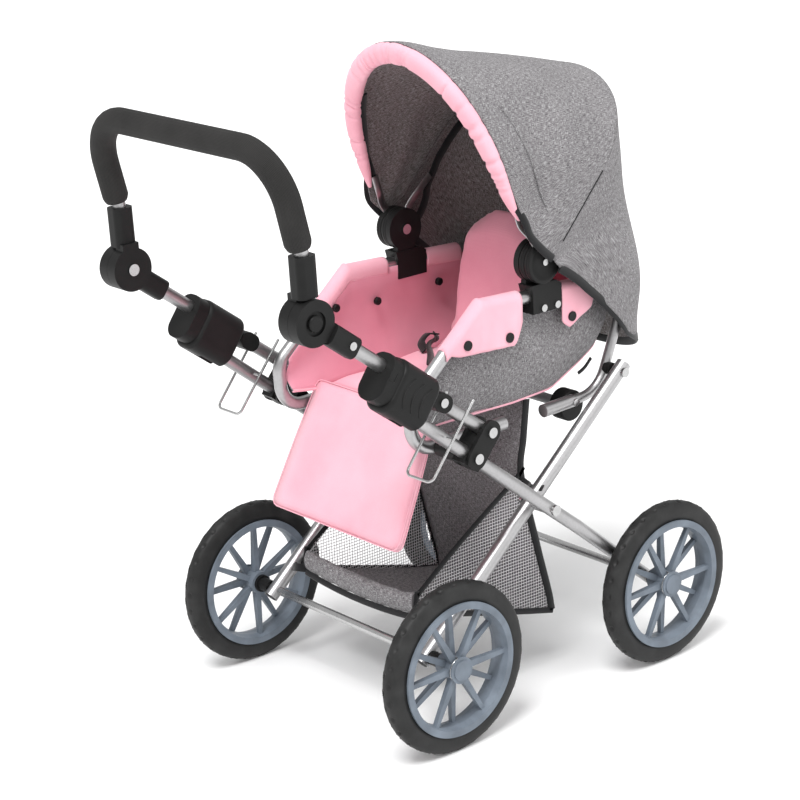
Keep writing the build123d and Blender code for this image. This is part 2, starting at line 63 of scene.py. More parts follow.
MM = 0.001
AXLE_LOW, AXLE_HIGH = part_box("rear_axle")
AXLE_Y = (AXLE_LOW.y + AXLE_HIGH.y) / 2

HOOD_PIVOT = (161.8, 411.7)
SEAT_X = 92.4
SIDES = (("right", 1), ("left", -1))


def place(x, y, z):
    return Vector((x * MM, y * MM + AXLE_Y, z * MM))


def places(points):
    return np.array([place(*p) for p in points])


def added(name, data):
    thing = bpy.data.objects.new(name, data)
    bpy.context.collection.objects.link(thing)
    return thing


# ---- camera and light ----
def camera():
    yaw, pitch, roll = (math.radians(a) for a in (49.791, 18.127, -2.374))
    forward = Vector((-math.sin(yaw) * math.cos(pitch), math.cos(yaw) * math.cos(pitch), -math.sin(pitch)))
    right = forward.cross(Vector((0, 0, 1))).normalized()
    up = right.cross(forward)
    turned_right = right * math.cos(roll) + up * math.sin(roll)
    turned_up = up * math.cos(roll) - right * math.sin(roll)
    data = bpy.data.cameras.new("camera")
    data.lens, data.sensor_width, data.clip_end = 105.19, 36.0, 100.0
    eye = added("camera", data)
    turn = Matrix((turned_right, turned_up, -forward)).transposed().to_4x4()
    stands_at = place(1572.2, -1255.3, 953.3)
    eye.matrix_world = Matrix.Translation(stands_at) @ turn
    bpy.context.scene.camera = eye


def sun(name, strength, angle, azimuth, elevation):
    data = bpy.data.lights.new(name, "SUN")
    data.energy, data.angle = strength, math.radians(angle)
    lamp = added(name, data)
    a, e = math.radians(azimuth), math.radians(elevation)
    source = Vector((math.sin(a) * math.cos(e), -math.cos(a) * math.cos(e), math.sin(e)))
    lamp.rotation_euler = source.to_track_quat("Z", "Y").to_euler()


def studio():
    world = bpy.data.worlds.new("studio")
    world.use_nodes = True
    inputs = world.node_tree.nodes["Background"].inputs
    inputs["Color"].default_value = (1, 1, 1, 1)
    inputs["Strength"].default_value = 0.72
    bpy.context.scene.world = world
    bpy.context.scene.view_settings.view_transform = "Standard"
    sun("key", 2.5, 24, 28, 62)
    sun("fill", 0.7, 60, 105, 35)


camera()
studio()


# ---- materials ----
class Paint:
    """A procedural material: nodes are added round one Principled shader."""

    def __init__(self, name, rough, metallic=0.0, coords="Object", sheen=0.0, specular=0.5):
        self.material = bpy.data.materials.new(name)
        self.material.use_nodes = True
        self.tree = self.material.node_tree
        self.shader = self.tree.nodes["Principled BSDF"]
        for key, value in (("Roughness", rough), ("Metallic", metallic), ("Sheen Weight", sheen),
                           ("Specular IOR Level", specular)):
            self.shader.inputs[key].default_value = value
        self.at = self.node("ShaderNodeTexCoord").outputs[coords]

    def node(self, kind, inputs=(), **settings):
        made = self.tree.nodes.new(kind)
        for key, value in settings.items():
            setattr(made, key, value)
        for key, value in dict(inputs).items():
            if isinstance(value, bpy.types.NodeSocket):
                self.tree.links.new(value, made.inputs[key])
            else:
                made.inputs[key].default_value = value
        return made

    def noise(self, per_metre, detail=2.0):
        """Noise with this many features a metre, or a number for each coordinate."""
        scale = (per_metre,) * 3 if np.isscalar(per_metre) else per_metre
        spread = self.node("ShaderNodeMapping", {"Vector": self.at, "Scale": scale})
        texture = self.node("ShaderNodeTexNoise",
                            {"Vector": spread.outputs[0], "Scale": 1.0, "Detail": detail})
        return texture.outputs["Fac"]

    def bands(self, per_metre, axis):
        """Smooth stripes across one coordinate."""
        wave = self.node("ShaderNodeTexWave", {"Vector": self.at, "Scale": per_metre * math.pi / 10},
                         bands_direction=axis)
        return wave.outputs["Fac"]

    def sum(self, *parts):
        """The weighted sum of (socket, weight) pairs."""
        total = None
        for socket, weight in parts:
            scaled = self.node("ShaderNodeMath", {0: socket, 1: weight}, operation="MULTIPLY").outputs[0]
            total = scaled if total is None else self.node("ShaderNodeMath", {0: total, 1: scaled}).outputs[0]
        return total

    def ramp(self, value, stops):
        ramp = self.node("ShaderNodeValToRGB", {"Fac": value})
        while len(ramp.color_ramp.elements) < len(stops):
            ramp.color_ramp.elements.new(0.5)
        for element, (at, colour) in zip(ramp.color_ramp.elements, stops):
            element.position = at
            element.color = (*colour, 1)
        return ramp.outputs["Color"]

    def blended(self, factor, first, second, blend="MIX"):
        mix = self.node("ShaderNodeMix", {0: factor, 6: first, 7: second}, data_type="RGBA", blend_type=blend)
        return mix.outputs[2]

    def colour(self, socket):
        self.tree.links.new(socket, self.shader.inputs["Base Color"])

    def roughness(self, value, low, high):
        spread = self.node("ShaderNodeMapRange", {"Value": value, "To Min": low, "To Max": high})
        self.tree.links.new(spread.outputs[0], self.shader.inputs["Roughness"])

    def bump(self, height, depth_mm, strength=1.0):
        bump = self.node("ShaderNodeBump",
                         {"Height": height, "Distance": depth_mm * MM, "Strength": strength})
        self.tree.links.new(bump.outputs[0], self.shader.inputs["Normal"])


def grey_of(shade, tint=(1.0, 1.0, 1.0)):
    return tuple(shade * t for t in tint)


def melange(name, shade, tint):
    """Woven two-tone cloth: short light and dark threads run both ways."""
    paint = Paint(name, 0.92, coords="UV", sheen=0.12, specular=0.15)
    warp = paint.noise((2500, 230, 300), 2.0)
    weft = paint.noise((230, 2500, 300), 2.0)
    fleck = paint.noise(1500, 2.0)
    cloud = paint.noise(22, 3.0)
    threads = paint.sum((warp, 0.45), (weft, 0.40), (fleck, 0.15))
    stops = [(0.38, grey_of(shade * 0.3, tint)), (0.49, grey_of(shade * 0.9, tint)),
             (0.60, grey_of(min(1.0, shade * 2.3)))]
    base = paint.ramp(threads, stops)
    shaded = paint.ramp(cloud, [(0.3, grey_of(0.86)), (0.7, grey_of(1.0))])
    paint.colour(paint.blended(1.0, base, shaded, "MULTIPLY"))
    weave = paint.sum((paint.bands(900, "X"), 0.5), (paint.bands(900, "Y"), 0.5), (fleck, 0.6))
    paint.bump(weave, 0.16, 0.7)
    return paint.material


def plain_cloth(name, colour, deep, coords="Object", per_metre=1100, rough=0.88):
    """Fine plain-woven cloth with a soft change of tone."""
    paint = Paint(name, rough, coords=coords, sheen=0.25, specular=0.2)
    cloud = paint.noise(16, 3.0)
    grain = paint.noise(1500, 1.0)
    tone = paint.sum((cloud, 0.75), (grain, 0.25))
    paint.colour(paint.ramp(tone, [(0.3, deep), (0.62, colour)]))
    weave = paint.sum((paint.bands(per_metre, "X"), 0.4), (paint.bands(per_metre, "Y"), 0.4),
                      (paint.bands(per_metre, "Z"), 0.4), (paint.noise(60, 3.0), 2.4))
    paint.bump(weave, 0.14, 0.6)
    return paint.material


def plastic(name, shade, rough, grain=0.05, tint=(1, 1, 1)):
    """Moulded plastic with spark-eroded grain and worn, shinier high spots."""
    paint = Paint(name, rough, specular=0.2)
    fine = paint.noise(2200, 2.0)
    wear = paint.noise(45, 4.0)
    paint.colour(paint.ramp(wear, [(0.35, grey_of(shade, tint)), (0.75, grey_of(shade * 1.5, tint))]))
    paint.roughness(wear, rough - 0.08, rough + 0.1)
    paint.bump(fine, grain, 0.5)
    return paint.material


def metal(name, shade, rough, per_metre, tint=(1, 1, 1)):
    """Satin tube or plated steel, with fine drawing lines and faint smudges."""
    paint = Paint(name, rough, metallic=1.0)
    lines = paint.noise(per_metre, 2.0)
    smudge = paint.noise(30, 3.0)
    tone = paint.sum((lines, 0.5), (smudge, 0.5))
    paint.colour(paint.ramp(tone, [(0.35, grey_of(shade * 0.86, tint)), (0.65, grey_of(shade, tint))]))
    paint.roughness(tone, rough - 0.07, rough + 0.09)
    paint.bump(lines, 0.02, 0.35)
    return paint.material


def rubber():
    paint = Paint("tyre_rubber", 0.42, specular=0.3)
    fine = paint.noise(1400, 2.0)
    dust = paint.noise(60, 4.0)
    paint.colour(paint.ramp(dust, [(0.4, grey_of(0.012)), (0.75, grey_of(0.026))]))
    paint.roughness(dust, 0.45, 0.62)
    paint.bump(fine, 0.06, 0.5)
    return paint.material


def foam():
    """Foam grip, with fine ridges along the bar; the ridges also darken the colour in their grooves, as
    painted shade.
    """
    paint = Paint("grip_foam", 0.75, coords="UV", specular=0.3)
    ridges_and_groove_shade = paint.bands(900, "X")
    pores = paint.noise(1800, 2.0)
    wear = paint.noise(25, 3.0)
    # Colour from random wear plus the ridges: the ridge part is painted shade in the grooves.
    paint.colour(paint.ramp(paint.sum((ridges_and_groove_shade, 0.35), (wear, 0.65)), [(0.2, grey_of(0.010, (1, .96, .93))),
                                                                    (0.8, grey_of(0.032, (1, .96, .93)))]))
    paint.bump(paint.sum((ridges_and_groove_shade, 1.0), (pores, 0.4)), 0.3, 0.8)
    return paint.material


GREY = melange("melange_grey", 0.20, (1.0, 0.93, 0.98))
LINING = melange("melange_lining", 0.21, (1.0, 0.86, 0.84))
PINK = plain_cloth("pink_cloth", (0.93, 0.50, 0.585), (0.86, 0.39, 0.475))
# Painted shade: a darker copy of the pink cloth for the backrest, which sits in shade.
PINK_PAINTED_SHADE = plain_cloth("pink_pad_painted_shade", (0.86, 0.37, 0.46), (0.78, 0.29, 0.38))
PINK_UV = plain_cloth("pink_sheet_cloth", (0.93, 0.50, 0.585), (0.86, 0.39, 0.475), coords="UV")
# Painted shade: a darker, deeper copy of the pink cloth for the seat's inner walls, which are in shade.
PINK_LINING_PAINTED_SHADE = plain_cloth("pink_lining_painted_shade_cloth", (0.80, 0.34, 0.43), (0.72, 0.27, 0.355), coords="UV")
TAPE = plain_cloth("black_tape", (0.010, 0.010, 0.011), (0.005, 0.005, 0.006), coords="UV",
                   per_metre=700, rough=0.8)
THREAD = plain_cloth("net_thread", (0.74, 0.73, 0.74), (0.6, 0.59, 0.6))
TUBE = metal("satin_tube", 0.46, 0.34, 400, (1.0, 0.99, 1.0))
ZINC = metal("zinc_steel", 0.52, 0.22, 300)
BLACK = plastic("black_plastic", 0.008, 0.46)
SNAP = plastic("black_snap", 0.008, 0.35, 0.03)
SLATE = plastic("slate_plastic", 0.165, 0.4, 0.03, (0.80, 0.94, 1.12))
RUBBER = rubber()
FOAM = foam()

BY_SLOT = {"silver_tube": TUBE, "zinc_steel": ZINC, "black_plastic": BLACK, "black_snap": SNAP,
           "black_foam": FOAM, "tyre": RUBBER, "slate_plastic": SLATE, "grey_melange": GREY,
           "pink_cloth": PINK}


# ---- mesh tools ----
def unit(vector):
    return vector / np.linalg.norm(vector)


def unit_rows(vectors):
    return vectors / np.linalg.norm(vectors, axis=1, keepdims=True)


def lengths_along(points):
    """The distance from the first point to each one, along the line."""
    return np.concatenate([[0], np.cumsum(np.linalg.norm(np.diff(points, axis=0), axis=1))])


def curve_through(points, count, closed=False):
    """Evenly spaced points on a Catmull-Rom curve through the given ones."""
    p = np.asarray(points, float)
    if closed:
        p = np.vstack([p[-1:], p, p[:2]])
    else:
        p = np.vstack([2 * p[:1] - p[1:2], p, 2 * p[-1:] - p[-2:-1]])
    fine = []
    for a, b, c, d in zip(p[:-3], p[1:-2], p[2:-1], p[3:]):
        t = np.linspace(0, 1, 24, endpoint=False)[:, None]
        fine.append(0.5 * (2 * b + (c - a) * t + (2 * a - 5 * b + 4 * c - d) * t ** 2
                           + (3 * b - a - 3 * c + d) * t ** 3))
    fine = np.vstack([*fine, p[-2:-1]])
    return evenly(fine, count + 1 if closed else count)[:count]


def evenly(points, count):
    """The same line, resampled at equal steps."""
    p = np.asarray(points, float)
    run = lengths_along(p)
    at = np.linspace(0, run[-1], count)
    return np.stack([np.interp(at, run, p[:, k]) for k in range(p.shape[1])], axis=1)


def mesh_piece(name, verts, faces, materials, uvs=None, faces_material=None, smooth=True):
    mesh = bpy.data.meshes.new(name)
    mesh.from_pydata([tuple(v) for v in verts], [], [tuple(f) for f in faces])
    for material in materials:
        mesh.materials.append(material)
    if uvs is not None:
        layer = mesh.uv_layers.new(name="UVMap")
        layer.data.foreach_set("uv", np.asarray(uvs, float).ravel())
    if faces_material is not None:
        mesh.polygons.foreach_set("material_index", np.asarray(faces_material, np.int32))
    mesh.polygons.foreach_set("use_smooth", [smooth] * len(mesh.polygons))
    mesh.update()
    return added(name, mesh)


def grid_normals(grid):
    across = np.gradient(grid, axis=1)
    along = np.gradient(grid, axis=0)
    normals = np.cross(across, along)
    return normals / np.maximum(np.linalg.norm(normals, axis=2, keepdims=True), 1e-12)


def cloth_sheet(name, grid, thick_mm, materials):
    """A closed thin sheet through a grid of points, outside first. Its UV map is in metres."""
    grid = np.asarray(grid, float)
    rows, cols = grid.shape[:2]
    across = np.linalg.norm(np.diff(grid, axis=1), axis=2)
    along = np.linalg.norm(np.diff(grid, axis=0), axis=2)
    u = np.concatenate([np.zeros((rows, 1)), np.cumsum(across, axis=1)], 1)
    v = np.concatenate([np.zeros((1, cols)), np.cumsum(along, axis=0)], 0)
    u = u - u[:, cols // 2:cols // 2 + 1]
    normals = grid_normals(grid) * thick_mm * MM / 2
    verts = np.concatenate([(grid + normals).reshape(-1, 3), (grid - normals).reshape(-1, 3)])
    flat_uv = np.stack([u, v], axis=2).reshape(-1, 2)
    count = rows * cols
    faces, uvs, which = [], [], []
    for i in range(rows - 1):
        for j in range(cols - 1):
            a, b, c, d = i * cols + j, i * cols + j + 1, (i + 1) * cols + j + 1, (i + 1) * cols + j
            faces += [(a, b, c, d), (d + count, c + count, b + count, a + count)]
            uvs += [flat_uv[corner] for corner in (a, b, c, d, d, c, b, a)]
            which += [0, len(materials) - 1]
    rim = ([(0, j) for j in range(cols)] + [(i, cols - 1) for i in range(1, rows)]
           + [(rows - 1, j) for j in range(cols - 2, -1, -1)] + [(i, 0) for i in range(rows - 2, 0, -1)])
    for (i0, j0), (i1, j1) in zip(rim, rim[1:] + rim[:1]):
        a, b = i0 * cols + j0, i1 * cols + j1
        faces.append((b, a, a + count, b + count))
        uvs += [flat_uv[b], flat_uv[a], flat_uv[a], flat_uv[b]]
        which.append(0)
    return mesh_piece(name, verts, faces, materials, uvs, which)


def frames_along(path, hint=None):
    """Unit tangent, side and up at each point of a path."""
    tangent = unit_rows(np.gradient(path, axis=0))
    side = np.zeros_like(path)
    if hint is not None:
        hint = np.broadcast_to(np.asarray(hint, float), path.shape)
        side = hint - (hint * tangent).sum(1, keepdims=True) * tangent
    else:
        start = np.array([0, 0, 1.0]) if abs(tangent[0][2]) < 0.9 else np.array([1.0, 0, 0])
        last = np.cross(tangent[0], start)
        for k, t in enumerate(tangent):
            last = unit(last - last.dot(t) * t)
            side[k] = last
    side = unit_rows(side)
    return tangent, side, np.cross(tangent, side)


def swept(name, path, profile, material, hint=None, closed=False):
    """A tube along path; profile(t) gives its section as (side, up) offsets in millimetres."""
    path = np.asarray(path, float)
    _, side, up = frames_along(np.vstack([path[-1:], path, path[:1]]) if closed else path,
                               None if hint is None or closed else hint)
    if closed:
        side, up = side[1:-1], up[1:-1]
    count = len(path)
    sections = [np.asarray(profile(k / (count - 1)), float) * MM for k in range(count)]
    ring = len(sections[0])
    verts = np.vstack([path[k] + s[:, :1] * side[k] + s[:, 1:] * up[k] for k, s in enumerate(sections)])
    middle = sections[count // 2]
    run, girth = lengths_along(path), lengths_along(np.vstack([middle, middle[:1]]))
    faces, uvs = [], []
    for k in range(count if closed else count - 1):
        n = (k + 1) % count
        for j in range(ring):
            m = (j + 1) % ring
            faces.append((k * ring + j, k * ring + m, n * ring + m, n * ring + j))
            high = run[n] if n else run[-1] + run[1]
            uvs += [(girth[j], run[k]), (girth[j + 1], run[k]), (girth[j + 1], high), (girth[j], high)]
    if not closed:
        for start, flipped in ((0, True), ((count - 1) * ring, False)):
            cap = [start + j for j in range(ring)]
            faces.append(cap[::-1] if flipped else cap)
            uvs += [(0.0, 0.0)] * ring
    piece = mesh_piece(name, verts, faces, [material], uvs)
    sharpen(piece)
    return piece


def sharpen(piece, degrees=50):
    """Smooth shading that keeps real edges crisp."""
    piece.data.set_sharp_from_angle(angle=math.radians(degrees))


def round_section(radius, sides):
    angles = np.linspace(0, 2 * math.pi, sides, endpoint=False)
    section = np.stack([np.cos(angles) * radius, np.sin(angles) * radius], axis=1)
    return lambda t: section


def strap_section(width, thick):
    """A webbing section with soft edges."""
    w, h = width / 2, thick / 2
    e = min(h * 0.9, w * 0.4)
    section = np.array([(-w, -h + e), (-w + e, -h), (w - e, -h), (w, -h + e),
                        (w, h - e), (w - e, h), (-w + e, h), (-w, h - e)])
    return lambda t: section


def strap(name, points, across, width, thick):
    """Flat webbing along a smooth line through the points; across is its width direction."""
    return swept(name, curve_through(places(points), 40), strap_section(width, thick), TAPE, across)


def settle(piece, body, slot, *nodes):
    """Puts the piece on its body and hides the frame parts that it replaces."""
    if body:
        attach(piece, body)
    if nodes:
        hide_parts(*nodes)
    return piece


def joined(name, pieces):
    """Several meshes as one piece."""
    first = pieces[0]
    with bpy.context.temp_override(active_object=first, selected_editable_objects=pieces):
        bpy.ops.object.join()
    first.name = name
    return first


def freeze(piece):
    """Applies the piece's modifiers."""
    graph = bpy.context.evaluated_depsgraph_get()
    mesh = bpy.data.meshes.new_from_object(piece.evaluated_get(graph))
    piece.modifiers.clear()
    piece.data = mesh
    return piece


def puff(piece, cap_mm, voxel_mm=5, pressure=4.0, steps=20):
    """Swells a closed pad as stuffed cloth, then smooths it."""
    remesh = piece.modifiers.new("remesh", "REMESH")
    remesh.mode, remesh.voxel_size, remesh.use_smooth_shade = "VOXEL", voxel_mm * MM, True
    freeze(piece)
    rest = np.array([v.co for v in piece.data.vertices])
    cloth = piece.modifiers.new("cloth", "CLOTH")
    cloth.settings.use_pressure = True
    cloth.settings.uniform_pressure_force = pressure
    cloth.settings.tension_stiffness = cloth.settings.compression_stiffness = 12
    cloth.settings.effector_weights.gravity = 0
    cloth.settings.quality = 5
    scene = bpy.context.scene
    for step in range(1, steps + 1):
        scene.frame_set(step)
    graph = bpy.context.evaluated_depsgraph_get()
    moved = np.array([v.co for v in piece.evaluated_get(graph).data.vertices])
    piece.modifiers.clear()
    scene.frame_set(1)
    shift = moved - rest
    far = np.linalg.norm(shift, axis=1, keepdims=True)
    shift *= np.minimum(1.0, cap_mm * MM / np.maximum(far, 1e-9))
    piece.data.vertices.foreach_set("co", (rest + shift).ravel())
    smooth = piece.modifiers.new("smooth", "SMOOTH")
    smooth.iterations = 6
    subdivide = piece.modifiers.new("subdivide", "SUBSURF")
    subdivide.levels = subdivide.render_levels = 1
    freeze(piece)
    piece.data.polygons.foreach_set("use_smooth", [True] * len(piece.data.polygons))
    return piece


def on_slope(origin, along, v, rise):
    """The side-plane point at a distance along a slope and a rise square to it."""
    length = math.hypot(*along)
    y, z = along[0] / length, along[1] / length
    return origin[0] + y * v - z * rise, origin[1] + z * v + y * rise


def pad_body(name, outline, origin, along, thick, material, crown=0.0):
    """A closed pad: outline is (across, along) in millimetres on a plane through origin.

    along is the pad's long direction in the side plane; crown raises its middle.
    """
    outline = np.asarray(outline, float)
    centre = (outline.max(0) + outline.min(0)) / 2
    rings, count = 7, len(outline)
    verts, faces = [], []
    for face in (1, -1):
        for ring in range(rings + 1):
            scale = 1 - ring / rings
            inset = centre + (outline - centre) * (1 - (1 - scale) * 0.98)
            rise = thick / 2 * min(1.0, 0.55 + ring * 0.45) + crown * (1 - scale ** 2)
            verts += [place(u, *on_slope(origin, along, v, rise * face)) for u, v in inset]
    half = (rings + 1) * count
    for side in (0, half):
        for ring in range(rings):
            for j in range(count):
                m = (j + 1) % count
                quad = [side + ring * count + j, side + ring * count + m, side + (ring + 1) * count + m,
                        side + (ring + 1) * count + j]
                faces.append(quad if side == 0 else quad[::-1])
        cap = [side + rings * count + j for j in range(count)]
        faces.append(cap if side == 0 else cap[::-1])
    for j in range(count):
        m = (j + 1) % count
        faces.append((m, j, half + j, half + m))
    piece = mesh_piece(name, verts, faces, [material])
    piece.data.validate()
    fix = bmesh.new()
    fix.from_mesh(piece.data)
    bmesh.ops.recalc_face_normals(fix, faces=fix.faces)
    fix.to_mesh(piece.data)
    fix.free()
    return piece


def rounded_outline(corners, radii, step=5.0):
    """A closed outline with rounded corners, at even steps."""
    points = []
    corners = [np.array(c, float) for c in corners]
    count = len(corners)
    for k, corner in enumerate(corners):
        before, after = corners[k - 1], corners[(k + 1) % count]
        start = corner + unit(before - corner) * radii[k]
        end = corner + unit(after - corner) * radii[k]
        for t in np.linspace(0, 1, 9):
            pull = 2 * t * (1 - t) * math.sqrt(0.5)
            total = (1 - t) ** 2 + pull + t ** 2
            points.append(((1 - t) ** 2 * start + pull * corner + t ** 2 * end) / total)
    points.append(points[0])
    length = np.linalg.norm(np.diff(points, axis=0), axis=1).sum()
    return evenly(points, int(length / step) + 1)[:-1]


def in_plane(path):
    """Across a line that lies in a side wall."""
    return np.cross(np.gradient(path, axis=0), np.array([1.0, 0, 0]))


def turned(name, profile, centre, material, sides=64, sign=1):
    """A solid turned about the X axis: profile is (x, radius) from one end to the other."""
    angles = np.linspace(0, 2 * math.pi, sides, endpoint=False)
    verts = [place(sign * x, centre[0] + r * math.cos(a), centre[1] + r * math.sin(a))
             for x, r in profile for a in angles]
    faces = []
    for k in range(len(profile) - 1):
        for j in range(sides):
            m = (j + 1) % sides
            quad = (k * sides + j, k * sides + m, (k + 1) * sides + m, (k + 1) * sides + j)
            faces.append(quad if sign < 0 else quad[::-1])
    first, last = list(range(sides)), [(len(profile) - 1) * sides + j for j in range(sides)]
    faces += [first, last[::-1]] if sign > 0 else [first[::-1], last]
    piece = mesh_piece(name, verts, faces, [material])
    sharpen(piece, 40)
    return piece


def disc_profile(x_from, x_to, radius, bevel=1.0, groove=0.6):
    """A disc with bevelled rims, a groove round its middle and a shallow recess in its outer face."""
    middle, inner, soft = (x_from + x_to) / 2, radius - bevel, bevel * 0.3
    return [(x_from, inner - 3), (x_from, inner), (x_from + soft, radius - soft), (x_from + bevel, radius),
            (middle - groove, radius), (middle, radius - groove), (middle + groove, radius),
            (x_to - bevel, radius), (x_to - soft, radius - soft), (x_to, inner), (x_to, inner - 3),
            (x_to - 0.5, inner - 3.6), (x_to - 0.5, 5)]


# ---- hood ----
FRONT_ANGLE, MID_ANGLE = 108.0, 47.0
FRONT_AHEAD = 12.0
HOOD_HALF, MID_APEX, HEM_APEX = 112.0, 204.0, 213.0
FRONT_HALF, FRONT_STRAIGHT, FRONT_APEX = 103.0, 85.0, 212.0
HOOD_THICK = 1.2
EDGE_TAPE = 2.6                   # thickness of the black edging
SEAT_CORNER = (88, 284, 372)      # where the seat frame bears on the rear cloth
CORNER_PUSH, CORNER_REACH = 10.5, 38
# Where each cloth starts and stops turning with its bow: (angle, distance) from the pivot.
REAR_BEND = ("chassis", "hood_mid", (MID_ANGLE - 90, 235), (MID_ANGLE, 0))
FRONT_BEND = ("hood_mid", "hood_front", (-11.5, 111), (168.5, 111))


def side_plane(angle, radial, ahead=0.0):
    """The side-plane point at an angle and distance from the hood's pivot, shifted ahead of that line."""
    a = math.radians(angle)
    return (HOOD_PIVOT[0] + radial * math.cos(a) - ahead * math.sin(a),
            HOOD_PIVOT[1] + radial * math.sin(a) + ahead * math.cos(a))


def arch(half, straight, apex, low, at, low_half=None):
    """Points of a hood arch from the right side over to the left; at(radial) gives the side-plane point."""
    side = [(float(np.interp(r, (30, 80), (low_half or half, half))), r)
            for r in np.linspace(low, straight, 14, endpoint=False)]
    bend = [(half * math.cos(t), straight + (apex - straight) * math.sin(t))
            for t in np.linspace(0, math.pi, 45)]
    whole = side + bend + [(-x, r) for x, r in reversed(side)]
    return places([(x, *at(r)) for x, r in whole])


def front_line(radial):
    return side_plane(FRONT_ANGLE, radial, FRONT_AHEAD)


def mid_line(radial):
    return side_plane(MID_ANGLE, radial)


def hem_line(radial):
    """The hem droops a little towards the back corners."""
    return side_plane(float(np.interp(radial, (14, 60, 135, 175), (-28.5, -35, -40, -37))), radial)


FRONT_ARCH = arch(FRONT_HALF, FRONT_STRAIGHT, FRONT_APEX, 33, front_line, 110)
MID_ARCH = arch(HOOD_HALF, 100, MID_APEX, 5, mid_line)
HEM_ARCH = arch(HOOD_HALF, 104, HEM_APEX, 14, hem_line)


def outward_of(points):
    """Unit vectors away from the middle of the hood."""
    return unit_rows(points - np.array(place(0, *side_plane(60, 60))))


def hood_grid(first, last, steps, puff_mm):
    """Cloth between two arches, a little slack, and pushed out by the seat frame's corners."""
    rows = []
    for k in range(steps):
        t = k / (steps - 1)
        line = first * (1 - t) + last * t
        reach = np.linalg.norm(line[:, 1:] - np.array(place(0, *HOOD_PIVOT))[1:], axis=1) / MM
        x = line[:, 0] / MM
        slack = 1.6 * np.sin(t * 15 + x * 0.012) * np.exp(-((reach - 95) / 50) ** 2) * np.sin(math.pi * t)
        slack += 1.2 * np.sin(t * 7 + x * 0.05) * np.sin(math.pi * t)
        slack += puff_mm * math.exp(-((t - 0.93) / 0.07) ** 2) * np.clip((reach - 120) / 60, 0, 1)
        for sign in (1, -1):
            corner = np.array(place(sign * SEAT_CORNER[0], *SEAT_CORNER[1:]))
            near = np.linalg.norm(line - corner, axis=1) / (CORNER_REACH * MM)
            slack += CORNER_PUSH * np.exp(-near ** 2)
        rows.append(line + outward_of(line) * slack[:, None] * MM)
    return np.array(rows)


def bend_hood(piece, bend, slot, *nodes):
    """Bakes the piece's placement into its mesh and hides the frame parts that it replaces."""
    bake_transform(piece)
    settle(piece, None, slot, *nodes)


def hood_cloth():
    """Two sheets that meet at the middle bow."""
    sides = [GREY, LINING]
    back_piece = cloth_sheet("hood_cloth_rear", hood_grid(HEM_ARCH, MID_ARCH, 43, 0.0), HOOD_THICK, sides)
    front_piece = cloth_sheet("hood_cloth_front", hood_grid(MID_ARCH, FRONT_ARCH, 49, 2.5), HOOD_THICK, sides)
    bend_hood(back_piece, REAR_BEND, "grey_melange", "hood_rear_panel", "hood_mid_panel")
    bend_hood(front_piece, FRONT_BEND, "grey_melange", "hood_front_panel")


def hood_seams():
    """The ridge over the front bow and the stitched line over the middle one, on both side walls."""
    for side, sign in SIDES:
        ridge = []
        for k, t in ((23, 0.83), (21, 0.80), (18, 0.765), (15, 0.73), (11, 0.66), (7, 0.52)):
            point = MID_ARCH[k] * (1 - t) + FRONT_ARCH[k] * t
            ridge.append(point * (sign, 1, 1) + np.array([sign * 0.0006, 0, 0.0002]))
        piece = swept(f"hood_ridge_{side}", curve_through(ridge, 50), round_section(1.1, 8), GREY)
        bend_hood(piece, FRONT_BEND, "grey_melange")
        x = sign * (HOOD_HALF + 0.5)
        seam = curve_through(places([(x, *mid_line(r)) for r in (24, 50, 76, 100)]), 40)
        piece = swept(f"hood_seam_{side}", seam, strap_section(1.1, 1.2), TAPE, in_plane(seam))
        bend_hood(piece, REAR_BEND, "black_snap")


def hood_tapes():
    """Black edging: round the hem, and from each pivot up to the padded edge."""
    hem = swept("hood_tape_hem", HEM_ARCH, strap_section(9, EDGE_TAPE), TAPE, MID_ARCH - HEM_ARCH)
    bend_hood(hem, REAR_BEND, "black_snap")
    for side, sign in SIDES:
        inner = ((68, 152), (79, 130), (87, 106), (95, 82), (103, 62), (109, 48), (111, 34))
        line = [(sign * x, *front_line(r)) for x, r in inner]
        line += [(sign * HOOD_HALF, 153.0, 426.0), (sign * HOOD_HALF, 165.2, 415.6)]
        path = curve_through(places(line), 90)
        piece = swept(f"hood_tape_front_{side}", path, strap_section(8, EDGE_TAPE), TAPE, in_plane(path))
        bend_hood(piece, FRONT_BEND, "black_snap")


def hood_binding():
    """Padded pink edge, full over the crown and run out to nothing above each pivot, with gathers."""
    edge = arch(FRONT_HALF + 1.5, FRONT_STRAIGHT, FRONT_APEX + 2, 50, front_line)
    path = evenly(edge, 230)
    turn = math.radians(FRONT_ANGLE)
    outward = np.cross(np.gradient(path, axis=0), np.array([0, -math.sin(turn), math.cos(turn)]))
    gathers = [draws.uniform(0.06, 0.94) for _ in range(30)]
    angles = np.linspace(0, 2 * math.pi, 28, endpoint=False)

    def section(t):
        s = min(t, 1 - t) * 2
        width = 4.0 + 16.0 * (1 - math.exp(-s / 0.14))
        pinch = min(1.0, sum(math.exp(-((t - g) / 0.004) ** 2) for g in gathers))
        thick = width * 0.66 * (1 - 0.16 * pinch)
        u, v = np.cos(angles), np.sin(angles)
        return np.stack([np.sign(u) * np.abs(u) ** 0.8 * width / 2 * (1 - 0.09 * pinch) - width / 2,
                         np.sign(v) * np.abs(v) ** 0.85 * thick / 2 - thick * 0.36], axis=1)

    piece = swept("hood_binding_roll", path, section, PINK, outward)
    settle(piece, "hood_front", "pink_cloth", "hood_binding")


